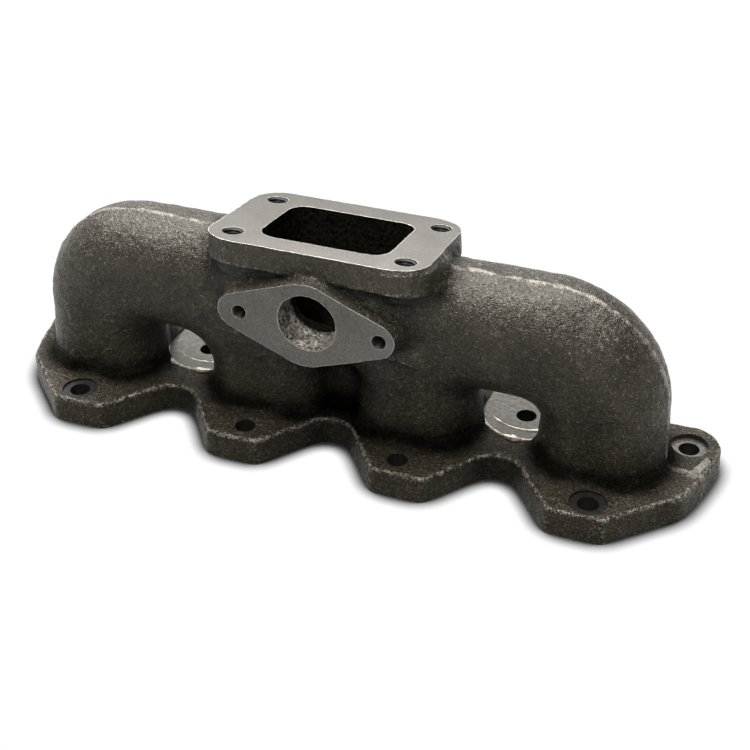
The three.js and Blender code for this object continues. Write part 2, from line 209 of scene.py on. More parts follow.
def rounded_rectangle(u, v, half_u, half_v, corner):
    across = np.abs(u) - half_u + corner
    along = np.abs(v) - half_v + corner
    outside = np.hypot(np.maximum(across, 0), np.maximum(along, 0))
    return outside + np.minimum(np.maximum(across, along), 0) - corner


def diamond(u, v, grow):
    """Waist circle and two tip circles joined by common tangents."""
    along = np.abs(u)
    across = np.abs(v)
    slope = (GATE_WAIST - GATE_TIP) / GATE_HALF_SPACING
    rise = math.sqrt(1 - slope * slope)
    station = along * rise - across * slope
    tangent = across * rise + along * slope - GATE_WAIST
    waist = np.hypot(along, across) - GATE_WAIST
    tip = np.hypot(along - GATE_HALF_SPACING, across) - GATE_TIP
    far = np.where(station > rise * GATE_HALF_SPACING, tip, tangent)
    return np.where(station < 0, waist, far) - grow


def rounded_polygon(corners):
    """Points round a polygon whose corners [x, y, radius] are rounded by arcs."""
    points = []
    for index, (x, y, radius) in enumerate(corners):
        corner = np.array([x, y], float)
        before = np.array(corners[index - 1][:2]) - corner
        after = np.array(corners[(index + 1) % len(corners)][:2]) - corner
        before /= np.linalg.norm(before)
        after /= np.linalg.norm(after)
        half = math.acos(float(before @ after)) / 2
        middle = (before + after) / np.linalg.norm(before + after)
        centre = corner + middle * radius / math.sin(half)
        start = corner + before * radius / math.tan(half) - centre
        end = corner + after * radius / math.tan(half) - centre
        turn = math.atan2(start[0] * end[1] - start[1] * end[0], float(start @ end))
        steps = 2 + int(abs(turn) * radius / 1.5)
        for share in np.linspace(0, 1, steps):
            c, s = math.cos(turn * share), math.sin(turn * share)
            points.append(centre + [c * start[0] - s * start[1], s * start[0] + c * start[1]])
    return np.array(points)


def polygon_distance(x, y, points):
    best = np.full(x.shape, np.inf)
    inside = np.zeros(x.shape, bool)
    for (x0, y0), (x1, y1) in zip(points, np.roll(points, -1, axis=0)):
        ex, ey = x1 - x0, y1 - y0
        if ex * ex + ey * ey < 1e-12:
            continue
        share = np.clip(((x - x0) * ex + (y - y0) * ey) / (ex * ex + ey * ey), 0, 1)
        best = np.minimum(best, (x - x0 - share * ex) ** 2 + (y - y0 - share * ey) ** 2)
        if y0 != y1:
            crosses = ((y0 > y) != (y1 > y)) & (x < ex * (y - y0) / ey + x0)
            inside ^= crosses
    return np.where(inside, -1, 1) * np.sqrt(best)


def head_outline():
    corners = []
    for index, centre in enumerate(LOBE_CENTRES):
        corners.append((centre - LOBE_HALF_WIDTH, FLANGE_FRONT, LOBE_CORNER))
        corners.append((centre + LOBE_HALF_WIDTH, FLANGE_FRONT, LOBE_CORNER))
        if index + 1 < len(LOBE_CENTRES):
            corners.append(((centre + LOBE_CENTRES[index + 1]) / 2, VALLEY_APEX_Y, VALLEY_CORNER))
    right = [(x + RIGHT_END_EXTRA, y, radius) for x, y, radius in FLANGE_END]
    left = [(-x, y, radius) for x, y, radius in reversed(FLANGE_END)]
    return rounded_polygon(corners + right + left)


def outer_outline():
    """The log, elbows and outer legs seen from the front, as if nothing were open between the legs."""
    return rounded_polygon([
        (RUNNER_1_LOW[0], LEG_FOOT, 0), (RUNNER_4_HIGH[0], LEG_FOOT, 0),
        (RUNNER_4_HIGH[0], LOG_TOP, RIGHT_ELBOW_CORNER), (RUNNER_1_LOW[0], LOG_TOP, LEFT_ELBOW_CORNER)])


def opening(sides, corners):
    """The four corners of a window between two legs, from its left side to its right side."""
    left, right = sides
    return [(left, LEG_FOOT, 0), (left, LOG_BOTTOM, corners[0]),
            (right, LOG_BOTTOM, corners[1]), (right, LEG_FOOT, 0)]


def tube_outline():
    """The same with the openings between the legs."""
    return rounded_polygon([
        (RUNNER_1_LOW[0], LEG_FOOT, 0),
        *opening(LEFT_OPENING, LEFT_OPENING_CORNERS),
        *opening(MIDDLE_GAP, (MIDDLE_GAP_CORNER, MIDDLE_GAP_CORNER)),
        *opening(RIGHT_OPENING, RIGHT_OPENING_CORNERS),
        (RUNNER_4_HIGH[0], LEG_FOOT, 0),
        (RUNNER_4_HIGH[0], LOG_TOP, RIGHT_ELBOW_CORNER), (RUNNER_1_LOW[0], LOG_TOP, LEFT_ELBOW_CORNER)])


def bore_outline():
    """The gas passages seen from the front: four ports and the log's bore."""
    top = BORE_AXIS_Z + BORE_HALF_WIDTH
    low = BORE_AXIS_Z - BORE_HALF_WIDTH
    inner = (INNER_PORT_X - BORE_HALF_WIDTH, INNER_PORT_X + BORE_HALF_WIDTH)
    outer = (OUTER_PORT_X - BORE_HALF_WIDTH, OUTER_PORT_X + BORE_HALF_WIDTH)
    elbow = BORE_ELBOW_RADIUS
    right = [
        (inner[0], low, BORE_CORNER), (inner[0], LEG_FOOT, 0),
        (inner[1], LEG_FOOT, 0), (inner[1], low, BORE_CORNER),
        (outer[0], low, elbow - BORE_HALF_WIDTH), (outer[0], LEG_FOOT, 0),
        (outer[1], LEG_FOOT, 0), (outer[1], top, elbow + BORE_HALF_WIDTH)]
    left = [(-x, z, radius) for x, z, radius in reversed(right)]
    return rounded_polygon(right + left)


class FlatField:
    """A flat distance field kept on a fine raster, because it is asked for many times."""

    STEP = 0.5
    MARGIN = 40

    def __init__(self, points):
        self.low = points.min(0) - self.MARGIN
        size = np.ceil((points.max(0) + self.MARGIN - self.low) / self.STEP).astype(int) + 1
        x = self.low[0] + self.STEP * np.arange(size[0])
        y = self.low[1] + self.STEP * np.arange(size[1])
        grid = np.meshgrid(x, y, indexing="ij")
        self.values = polygon_distance(grid[0], grid[1], points)

    def at(self, x, y):
        i, fi = self.place(x, 0)
        j, fj = self.place(y, 1)
        v = self.values
        near = v[i, j] * (1 - fj) + v[i, j + 1] * fj
        far = v[i + 1, j] * (1 - fj) + v[i + 1, j + 1] * fj
        return near * (1 - fi) + far * fi

    def place(self, values, axis):
        share = np.clip((values - self.low[axis]) / self.STEP, 0, self.values.shape[axis] - 1.001)
        index = share.astype(int)
        return index, share - index


HEAD_FIELD = FlatField(head_outline())
OUTER_FIELD = FlatField(outer_outline())
TUBE_FIELD = FlatField(tube_outline())
BORE_FIELD = FlatField(bore_outline())


def lattice_noise(x, y, z, size, seed):
    """Smooth random values between -1 and 1, from a repeating lattice whose cells are size wide."""
    table = np.random.default_rng(seed).uniform(-1, 1, (64, 64, 64))
    total = 0
    cells, shares = [], []
    for values in (x, y, z):
        scaled = np.asarray(values, float) / size + 31.7
        cell = np.floor(scaled).astype(int)
        share = scaled - cell
        cells.append(cell)
        shares.append(share * share * (3 - 2 * share))
    for di in (0, 1):
        for dj in (0, 1):
            for dk in (0, 1):
                weight = 1
                for share, step in zip(shares, (di, dj, dk)):
                    weight = weight * (share if step else 1 - share)
                corner = [(cell + step) % 64 for cell, step in zip(cells, (di, dj, dk))]
                total = total + weight * table[corner[0], corner[1], corner[2]]
    return total


def turbo_local(x, y, z):
    """Coordinates in the turbocharger flange's frame: along, across and up from its face."""
    c, s = math.cos(TURBO_TILT), math.sin(TURBO_TILT)
    dy, dz = y - TURBO_CENTRE_Y, z - TURBO_CENTRE_Z
    return x - TURBO_CENTRE_X, dy * c - dz * s, dy * s + dz * c


def swell(outline, y, radius):
    """A flat outline in the XZ plane swelled to a body with round edges."""
    return np.hypot(np.maximum(outline + radius, 0), y) - radius


def tubes(x, y, z):
    """The log, elbows and runners, each runner flaring a little towards the head flange."""
    body = swell(TUBE_FIELD.at(x, z), y, TUBE_RADIUS) - FLARE * np.clip(FLARE_TOP - z, 0, FLARE_TOP)
    web = np.abs(x - sum(MIDDLE_GAP) / 2) - WEB_HALF_WIDTH
    web = np.maximum(web, np.abs(y - WEB_Y) - WEB_HALF_THICKNESS)
    return round_union(body, np.maximum(web, z - LOG_BOTTOM - WEB_OVERLAP), WEB_FILLET)


def parting_ridge(x, y, z):
    """Height of the low raised line, round the outer edge, where the two halves of the mould met."""
    wander = 0.6 * lattice_noise(x, 0 * y, z, 9, 3)
    height = 0.46 + 0.34 * lattice_noise(x, 0 * y, z, 4, 4)
    outer = np.clip((OUTER_FIELD.at(x, z) + 9) / 4, 0, 1)
    return height * outer * np.exp(-((y - PARTING_Y - wander) / PARTING_WIDTH) ** 2)


def turbo_neck(x, y, z, up):
    """The neck under the turbocharger flange, flaring towards it from the log."""
    share = np.clip((z - NECK_FOOT_Z) / NECK_RISE, 0, 1)
    half_length = TURBO_LENGTH / 2 - 1 - share
    head_half_depth = TURBO_DEPTH / 2 - NECK_RECESS
    half_depth = NECK_FOOT_HALF_DEPTH + (head_half_depth - NECK_FOOT_HALF_DEPTH) * share
    along = x - TURBO_CENTRE_X - TURBO_OUTLINE_SHIFT
    side = rounded_rectangle(along, y - 1.4 * share, half_length, half_depth, NECK_CORNER)
    return np.maximum(np.maximum(side * 0.88, up + TURBO_THICKNESS / 2), NECK_FOOT_Z - 10 - z)


def turbo_plate(along, across, up):
    """The turbocharger flange, with draft on its right half only."""
    along = along - TURBO_OUTLINE_SHIFT
    side = rounded_rectangle(along, across, TURBO_LENGTH / 2, TURBO_DEPTH / 2, TURBO_CORNER)
    side = side - PLATE_DRAFT * np.clip(-up, 0, TURBO_THICKNESS) * np.clip(along / 40, 0, 1)
    middle = (ALLOWANCE - TURBO_THICKNESS) / 2
    half = (ALLOWANCE + TURBO_THICKNESS) / 2
    return round_meet(side, np.abs(up - middle) - half, PLATE_EDGE)


def gate_boss(x, y, z):
    """The wastegate flange and the neck behind it, which widens as it goes into the log."""
    depth = y - GATE_FACE_Y
    grow = 0.05 * np.clip(depth, 0, 7) + 0.34 * np.clip(depth - 7, 0, 17)
    across, rise = x - GATE_X, z - GATE_Z
    c, s = math.cos(GATE_ROLL), math.sin(GATE_ROLL)
    side = diamond(across * c - rise * s - GATE_OUTLINE_SHIFT, across * s + rise * c, grow)
    return np.maximum(side * 0.95, np.abs(depth - BOSS_DEPTH / 2) - BOSS_DEPTH / 2 - ALLOWANCE)


def head_plate(x, y, z):
    """The head flange, a little smaller at its top than at its face."""
    side = HEAD_FIELD.at(x, y) + FLANGE_DRAFT * z
    middle = (FLANGE_TOP - ALLOWANCE) / 2
    half = (FLANGE_TOP + ALLOWANCE) / 2
    return round_meet(side, np.abs(z - middle) - half, FLANGE_EDGE)


def casting_body(x, y, z):
    """The outer skin without its sand texture; fillets grow under the turbo flange's front right corner."""
    along, across, up = turbo_local(x, y, z)
    flowing = np.clip((along - 22) / 26, 0, 1) * np.clip((8 - across) / 20, 0, 1)
    body = tubes(x, y, z) - parting_ridge(x, y, z)
    body = round_union(body, turbo_neck(x, y, z, up), 5 + 6 * flowing)
    body = round_union(body, gate_boss(x, y, z), 5 - 2.5 * np.clip((z - GATE_Z - 6) / 10, 0, 1))
    body = round_union(body, turbo_plate(along, across, up), 1.7 + 7.5 * flowing)
    return round_union(body, head_plate(x, y, z), FLANGE_FILLET)


def raw_casting(x, y, z):
    """The whole raw casting: outer skin only, before any machining."""
    coarse = 0.28 * lattice_noise(x, y, z, 11, 1)
    fine = 0.16 * lattice_noise(x, y, z, 2.9, 2)
    return casting_body(x, y, z) + coarse + fine


def gas_passages(x, y, z):
    """Everything hollow: ports, log bore, the way up to the turbo mouth and the wastegate bore."""
    along, across, up = turbo_local(x, y, z)
    body = swell(BORE_FIELD.at(x, z), y, BORE_RADIUS)
    share = np.clip((BORE_AXIS_Z - z) / (BORE_AXIS_Z - TURBO_CENTRE_Z), 0, 1)
    half_depth = BORE_RADIUS - 2 + (MOUTH_DEPTH / 2 - BORE_RADIUS + 2) * share
    mouth = rounded_rectangle(along, across, MOUTH_LENGTH / 2, half_depth, MOUTH_CORNER)
    mouth = np.maximum(mouth, BORE_AXIS_Z - z)
    bore = np.maximum(np.hypot(x - GATE_BORE_X, z - GATE_BORE_Z) - GATE_BORE, y + 5)
    rough = 0.25 * lattice_noise(x, y, z, 6, 5) + 0.22 * lattice_noise(x, y, z, 2.6, 6)
    return round_union(round_union(body, mouth, 5), bore, 2) + rough


# ---------------------------------------------------------------------------------------
# Meshes
# ---------------------------------------------------------------------------------------

def new_object(name, vertices, faces):
    mesh = bpy.data.meshes.new(name)
    mesh.from_pydata((np.asarray(vertices) * MM).tolist(), [], [list(face) for face in faces])
    mesh.update()
    piece = bpy.data.objects.new(name, mesh)
    bpy.context.scene.collection.objects.link(piece)
    return piece


def gradient(field, points, reach=0.25):
    x, y, z = points.T
    slopes = []
    for dx, dy, dz in np.eye(3) * reach:
        slopes.append(field(x + dx, y + dy, z + dz) - field(x - dx, y - dy, z - dz))
    return np.stack(slopes, 1) / (2 * reach)


def settle(field, points, rounds=3):
    """Moves points onto the zero level of a field."""
    for _ in range(rounds):
        slope = gradient(field, points)
        value = field(*points.T)
        scale = value / np.maximum((slope ** 2).sum(1), 0.2)
        points = points - np.clip(scale, -0.5, 0.5)[:, None] * slope
    return points


def field_object(name, field, low, high, step):
    """A closed mesh of the zero level of a field inside a box."""
    axes = [np.arange(start, end + step, step) for start, end in zip(low, high)]
    grid = np.meshgrid(*axes, indexing="ij")
    values = field(*grid)
    volume = openvdb.FloatGrid(background=3 * step)
    volume.copyFromArray(np.ascontiguousarray(np.clip(values, -3 * step, 3 * step), np.float32))
    points, triangles, quads = volume.convertToPolygons(isovalue=0, adaptivity=0)
    points = np.array(points, float) * step + np.array([axis[0] for axis in axes])
    points = settle(field, points)
    return new_object(name, points, quads.tolist() + triangles.tolist())


def closed_loft(name, rings, place=None):
    """A closed mesh through rings of equally many points, with flat ends."""
    rings = np.array(rings, float)
    count = rings.shape[1]
    faces = []
    for level in range(len(rings) - 1):
        for k in range(count):
            after = (k + 1) % count
            low, high = level * count, (level + 1) * count
            faces.append((low + k, low + after, high + after, high + k))
    faces.append(tuple(reversed(range(count))))
    faces.append(tuple(range((len(rings) - 1) * count, len(rings) * count)))
    points = rings.reshape(-1, 3)
    if place is not None:
        points = points @ np.array(place.to_3x3()).T + np.array(place.translation)
    return new_object(name, points, faces)


def circle(radius, height, segments):
    angles = np.linspace(0, 2 * math.pi, segments, endpoint=False)
    return np.stack([radius * np.cos(angles), radius * np.sin(angles), np.full(segments, height)], 1)


def turned(name, profile, place, segments=64):
    """A closed turned shape from (radius, height) pairs, standing on place's Z axis."""
    return closed_loft(name, [circle(radius, height, segments) for radius, height in profile], place)


def threaded(name, place, minor, major, pitch, depth, chamfer):
    """Cutter for a tapped hole: a helical vee groove below a chamfered mouth."""
    segments = 40
    per_turn = 6
    angles = np.linspace(0, 2 * math.pi, segments, endpoint=False)
    rings = []
    for level in range(int(depth / pitch * per_turn) + 1):
        height = -depth + level * pitch / per_turn
        phase = (height / pitch - angles / (2 * math.pi)) % 1
        vee = 1 - np.abs(2 * phase - 1)
        radius = minor + (major - minor) * np.clip(1.4 * vee - 0.2, 0, 1)
        rings.append(circle(np.maximum(radius, major + chamfer + height), height, segments))
    rings.append(circle(major + chamfer, 4.0, segments))
    return closed_loft(name, rings, place)


def upright_prism(name, outline, low, high, place=None):
    return closed_loft(name, [[(x, y, z) for x, y in outline] for z in (low, high)], place)


def block(name, low, high, place=None):
    outline = [(low[0], low[1]), (high[0], low[1]), (high[0], high[1]), (low[0], high[1])]
    return upright_prism(name, outline, low[2], high[2], place)


def boolean(piece, operation, operand):
    """Applies one boolean, and keeps the operand's material on the faces that it makes."""
    modifier = piece.modifiers.new("boolean", "BOOLEAN")
    modifier.solver = "MANIFOLD"
    modifier.operation = operation
    modifier.material_mode = "TRANSFER"
    modifier.object = operand
    graph = bpy.context.evaluated_depsgraph_get()
    mesh = bpy.data.meshes.new_from_object(piece.evaluated_get(graph))
    piece.modifiers.clear()
    piece.data = mesh
    return piece


# ---------------------------------------------------------------------------------------
# Machining
# ---------------------------------------------------------------------------------------

def upright(x, y, z):
    return Matrix.Translation((x, y, z))


def turbo_place(along=0, across=0):
    """A place on the turbocharger face, with Z pointing out of it."""
    turn = Matrix.Rotation(-TURBO_TILT, 4, "X")
    centre = Matrix.Translation((TURBO_CENTRE_X, TURBO_CENTRE_Y, TURBO_CENTRE_Z))
    return centre @ turn @ Matrix.Translation((along, across, 0))


def gate_place(along=0):
    """A place on the wastegate face, with Z pointing out of it."""
    centre = Matrix.Translation((GATE_X, GATE_FACE_Y, GATE_Z))
    roll = Matrix.Rotation(GATE_ROLL, 4, "Y")
    stand = Matrix.Rotation(math.pi / 2, 4, "X")
    return centre @ roll @ Matrix.Translation((along, 0, 0)) @ stand


def face_cutters():
    """Blocks whose near sides are the three milled faces."""
    width = HEAD_HIGH[0] + 10
    head = block("cut_head_face", (-width, -80, -20), (width, 60, 0))
    half = (TURBO_LENGTH / 2 + 6, TURBO_DEPTH / 2 + 6)
    turbo = block("cut_turbo_face", (-half[0], -half[1], 0), (half[0], half[1], 12), turbo_place())
    gate = block("cut_gate_face", (-60, -30, 0), (60, 30, 12), gate_place())
    return [head, turbo], [gate]


def hole_cutters():
    """Plain stud holes, with the edge at the head face broken."""
    cutters = []
    for index, (x, y) in enumerate(FRONT_BOLTS + END_BOLTS + [MIDDLE_BOLT] + PAD_BOLTS):
        broken = BOLT_RADIUS + HOLE_BREAK
        profile = [(broken, -3), (broken, 0), (BOLT_RADIUS, HOLE_BREAK), (BOLT_RADIUS, 30)]
        cutters.append(turned(f"cut_hole_{index}", profile, upright(x, y, 0), 48))
    return cutters


def seat_cutters(bolts, radius, depth):
    """Flat-bottomed seats for nuts, sunk into the flange round some of its bolts."""
    cutters = []
    for index, (x, y) in enumerate(bolts):
        profile = [(radius, -depth), (radius, 8 if depth > 1 else 3)]
        cutters.append(turned(f"cut_seat_{index}", profile, upright(x, y, FLANGE_TOP), 64))
    return cutters


def pad_cutters():
    """Pads milled in from the flange's back edge in two steps, each ending in a ragged arc."""
    cutters = []
    for index, (x, y) in enumerate(PAD_BOLTS):
        angles = np.radians(np.linspace(-180, 0, 90))
        ragged = lattice_noise(angles * 9, angles * 0, angles * 0, 0.9, 20 + index)
        radius = PAD_RADIUS * (1 + PAD_RAGGEDNESS * ragged)
        front = [(x + r * math.cos(a), y + r * math.sin(a)) for r, a in zip(radius, angles)]
        front += [(x + PAD_RADIUS, FLANGE_BACK + 3), (x - PAD_RADIUS, FLANGE_BACK + 3)]
        back = [(u, min(v + STEP_SETBACK, FLANGE_BACK + 4)) for u, v in front]
        pad_floor = FLANGE_TOP - PAD_DEPTH
        cutters.append(upright_prism(f"cut_pad_{index}", front, pad_floor, FLANGE_TOP + 19))
        cutters.append(upright_prism(f"cut_step_{index}", back, pad_floor - STEP_DEPTH, FLANGE_TOP + 2))
    return cutters


def burr(name, centre, radius, degrees, foot, size, seed):
    """A ragged lip along an arc round centre: foot is its height, size scales its width and rise."""
    angles = np.radians(np.linspace(degrees[0], degrees[1], 100))
    ragged = lattice_noise(angles * radius, angles * 0, angles * 0, 1.4, seed)
    broad = lattice_noise(angles * radius, angles * 0, angles * 0, 6.0, seed + 1)
    ends = np.clip(np.minimum(angles - angles[0], angles[-1] - angles) * 6, 0.08, 1)
    swing = np.clip(0.55 + 0.35 * ragged + 0.5 * broad, 0.15, 2) * ends
    rings = []
    for angle, amount in zip(angles, swing):
        reach = size * amount
        section = [
            (radius - 0.1, foot + 0.2 + 0.8 * reach), (radius + 0.9 * reach, foot + 0.1 + 0.7 * reach),
            (radius + 0.3 + reach, foot - 0.4), (radius - 0.2 - 0.5 * reach, foot - 0.4)]
        rings.append([(centre[0] + r * math.cos(angle), centre[1] + r * math.sin(angle), z)
                      for r, z in section])
    return closed_loft(name, rings)


def burrs():
    """Lips that the mill left round the fronts of the pads and of the steps in them."""
    pieces = []
    for index, (x, y) in enumerate(PAD_BOLTS):
        pieces.append(burr(f"pad_burr_{index}", (x, y), PAD_RADIUS, (-172, -30),
                           FLANGE_TOP, PAD_BURR, 30 + index))
        pieces.append(burr(f"step_burr_{index}", (x, y + STEP_SETBACK), PAD_RADIUS, (-135, -35),
                           FLANGE_TOP - PAD_DEPTH, STEP_BURR, 40 + index))
    return pieces


def scar_cutters():
    """A knock near the edge of the flange's right end: a few scoops at slightly different tilts."""
    cutters = []
    rng = np.random.default_rng(8)
    for index in range(5):
        turn = math.radians(-16 + rng.uniform(-9, 9))
        tilt = math.radians(rng.uniform(13, 24))
        y = SCAR_FIRST_Y + SCAR_PITCH * index
        place = Matrix.Translation((SCAR_X + 0.27 * y + rng.uniform(-0.9, 0.3), y, FLANGE_TOP))
        place = place @ Matrix.Rotation(turn, 4, "Z") @ Matrix.Rotation(tilt, 4, "Y")
        half = rng.uniform(1.8, 3.2)
        cutters.append(block(f"cut_scar_{index}", (-7, -half, -0.4), (2.6, half, 6), place))
    return cutters


TURBO_THREAD = dict(minor=4.25, major=5.0, pitch=1.5, depth=14.5, chamfer=0.2)
GATE_THREAD = dict(minor=3.1, major=3.45, pitch=1.25, depth=14, chamfer=0.1)


def thread_cutters():
    cutters = []
    for index, (along, across) in enumerate(TURBO_BOLTS):
        cutters.append(threaded(f"cut_turbo_thread_{index}", turbo_place(along, across), **TURBO_THREAD))
    for index, side in enumerate((-1, 1)):
        place = gate_place(side * GATE_HALF_SPACING)
        cutters.append(threaded(f"cut_gate_thread_{index}", place, **GATE_THREAD))
    return cutters


def machined_casting(materials):
    """The raw casting with every cutter taken from it in turn and the burrs added."""
    low = (HEAD_LOW[0] - 5, FLANGE_FRONT - 5, -ALLOWANCE - 3)
    high = (HEAD_HIGH[0] + 5, TURBO_HIGH[1] + 5, TURBO_HIGH[2] + 6)
    casting = field_object("casting", raw_casting, low, high, SKIN_STEP)
    hollow = field_object("hollow", gas_passages, (-160, -60, -8), (160, 42, 122), PASSAGE_STEP)
    casting.data.materials.append(materials["skin"])
    milled, gate = face_cutters()
    groups = [
        ([hollow], materials["passage"]),
        (milled, materials["milled"]),
        (gate, materials["gate"]),
        (hole_cutters(), materials["drilled"]),
        (seat_cutters(END_BOLTS, COUNTERBORE_RADIUS, COUNTERBORE_DEPTH), materials["counterbore"]),
        (seat_cutters((FRONT_BOLTS[0], FRONT_BOLTS[3]), SEAT_RADIUS, SEAT_DEPTH), materials["seat"]),
        (pad_cutters(), materials["pad"]),
        (scar_cutters(), materials["scar"]),
        (thread_cutters(), materials["drilled"]),
    ]
    for cutters, material in groups:
        for cutter in cutters:
            cutter.data.materials.append(material)
            boolean(casting, "DIFFERENCE", cutter)
            bpy.data.objects.remove(cutter)
    for lip in burrs():
        lip.data.materials.append(materials["burr"])
        boolean(casting, "UNION", lip)
        bpy.data.objects.remove(lip)
    return casting


# ---------------------------------------------------------------------------------------
# Materials
# ---------------------------------------------------------------------------------------

# Reach of the floor's painted contact shadow, in millimetres.
CONTACT_REACH = 11


class Nodes:
    """Short calls for building a node material."""

    def __init__(self, name):
        self.material = bpy.data.materials.new(name)
        self.material.use_nodes = True
        self.tree = self.material.node_tree
        self.shader = self.tree.nodes["Principled BSDF"]
        self.place = self.add("ShaderNodeTexCoord").outputs["Object"]

    def add(self, kind, **values):
        node = self.tree.nodes.new(kind)
        for name, value in values.items():
            setattr(node, name, value)
        return node

    def feed(self, socket, value):
        if isinstance(value, bpy.types.NodeSocket):
            self.tree.links.new(value, socket)
        else:
            socket.default_value = value

    def noise(self, size_mm, detail=3, roughness=0.55, stretch=None):
        place = self.place
        if stretch is not None:
            mapping = self.add("ShaderNodeMapping")
            self.feed(mapping.inputs["Vector"], place)
            mapping.inputs["Scale"].default_value = stretch
            place = mapping.outputs["Vector"]
        node = self.add("ShaderNodeTexNoise")
        self.feed(node.inputs["Vector"], place)
        node.inputs["Scale"].default_value = 1 / (size_mm * MM)
        node.inputs["Detail"].default_value = detail
        node.inputs["Roughness"].default_value = roughness
        return node.outputs["Fac"]

    def grains(self, size_mm):
        """Closely packed grains: the distance from each one's middle, and a random colour for each."""
        node = self.add("ShaderNodeTexVoronoi")
        self.feed(node.inputs["Vector"], self.place)
        node.inputs["Scale"].default_value = 1 / (size_mm * MM)
        return node.outputs["Distance"], node.outputs["Color"]

    def tilted(self, colour, amount, normal):
        """The normal, leaning a random way for each grain."""
        centred = self.add("ShaderNodeVectorMath", operation="SUBTRACT")
        self.feed(centred.inputs[0], colour)
        self.feed(centred.inputs[1], (0.5, 0.5, 0.5))
        lean = self.add("ShaderNodeVectorMath", operation="SCALE")
        self.feed(lean.inputs[0], centred.outputs[0])
        self.feed(lean.inputs["Scale"], amount)
        total = self.add("ShaderNodeVectorMath", operation="ADD")
        self.feed(total.inputs[0], lean.outputs[0])
        self.feed(total.inputs[1], normal)
        unit = self.add("ShaderNodeVectorMath", operation="NORMALIZE")
        self.feed(unit.inputs[0], total.outputs[0])
        return unit.outputs[0]

    def position(self, axis):
        """Where a point is along axis 0, 1 or 2, in millimetres."""
        node = self.add("ShaderNodeSeparateXYZ")
        self.feed(node.inputs[0], self.place)
        return self.math("DIVIDE", node.outputs[axis], MM)

    def attribute(self, name):
        return self.add("ShaderNodeAttribute", attribute_name=name).outputs["Fac"]

    def math(self, operation, *values, clamp=False):
        node = self.add("ShaderNodeMath", operation=operation, use_clamp=clamp)
        for socket, value in zip(node.inputs, values):
            self.feed(socket, value)
        return node.outputs[0]

    def span(self, value, low, high, out_low=0.0, out_high=1.0):
        """Maps a value from low..high to out_low..out_high, held at both ends."""
        node = self.add("ShaderNodeMapRange", clamp=True)
        for socket, number in zip(node.inputs, (value, low, high, out_low, out_high)):
            self.feed(socket, number)
        return node.outputs[0]

    def blend(self, share, first, second, mode="MIX"):
        node = self.add("ShaderNodeMix", data_type="RGBA", blend_type=mode)
        self.feed(node.inputs["Factor"], share)
        self.feed(node.inputs[6], first)
        self.feed(node.inputs[7], second)
        return node.outputs[2]

    def bump(self, height, distance_mm, strength=1.0, normal=None):
        node = self.add("ShaderNodeBump")
        self.feed(node.inputs["Height"], height)
        node.inputs["Distance"].default_value = distance_mm * MM
        node.inputs["Strength"].default_value = strength
        if normal is not None:
            self.feed(node.inputs["Normal"], normal)
        return node.outputs["Normal"]

    def finish(self, colour, roughness, metallic, normal=None):
        self.feed(self.shader.inputs["Base Color"], colour)
        self.feed(self.shader.inputs["Roughness"], roughness)
        self.feed(self.shader.inputs["Metallic"], metallic)
        if normal is not None:
            self.feed(self.shader.inputs["Normal"], normal)
        return self.material


def grey(value, warmth=0.0):
    return (value * (1 + warmth), value, value * (1 - 1.6 * warmth), 1)


def cast_skin():
    """As-cast iron: warm brown-black sand grain, glinting where light grazes it, edges rubbed lighter.

    Painted light: the skin reflects more towards the top of the log and less down by the head, and painted
    shade darkens its crevices.
    """
    n = Nodes("cast_skin")
    mottling = n.noise(22, 4)
    lumps = n.noise(2.6, 2, 0.5)
    middle, random_colour = n.grains(0.75)
    chance = n.math("FRACT", n.math("MULTIPLY", random_colour, 7.3))
    crevice_shade = n.attribute("crevice_shade")
    painted_height_light = n.span(n.position(2), 12, 84)
    colour = n.blend(n.span(mottling, 0.3, 0.7), grey(0.013, 0.25), grey(0.021, 0.22))
    colour = n.blend(n.span(chance, 0.0, 0.35, 0.75, 0.0), colour, grey(0.004, 0.22))
    speck = n.span(n.math("ADD", chance, n.math("MULTIPLY", lumps, 0.25)), 0.82, 1.10)
    colour = n.blend(n.math("MULTIPLY", speck, 0.12), colour, grey(0.22, 0.14))
    worn = n.math("ADD", n.attribute("wear"), n.math("MULTIPLY", lumps, 0.8))
    wear = n.span(n.math("ADD", worn, n.math("MULTIPLY", chance, 0.45)), 0.90, 1.35)
    colour = n.blend(n.math("MULTIPLY", wear, 0.6), colour, grey(0.22, 0.08))
    # Painted shade: colour darkened to near black where the casting hems the surface in.
    colour = n.blend(n.span(crevice_shade, 0.05, 0.8, 0.0, 0.97), colour, grey(0.001, 0.1))
    roughness = n.span(chance, 0.5, 1, 0.44, 0.26)
    # Painted light: the specular level rises towards the log's top and falls down by the head and in
    # crevices, for how light falls there.
    shine = n.math("MULTIPLY", n.span(painted_height_light, 0, 1, 0.16, 0.62), n.span(crevice_shade, 0.0, 0.7, 1.0, 0.05))
    n.feed(n.shader.inputs["Specular IOR Level"], shine)
    n.feed(n.shader.inputs["Specular Tint"], grey(0.95, 0.05))
    height = n.math("SUBTRACT", n.math("MULTIPLY", lumps, 0.7), n.math("MULTIPLY", middle, 0.35))
    return n.finish(colour, roughness, 0.3, n.tilted(random_colour, 0.42, n.bump(height, 0.9, 0.9)))


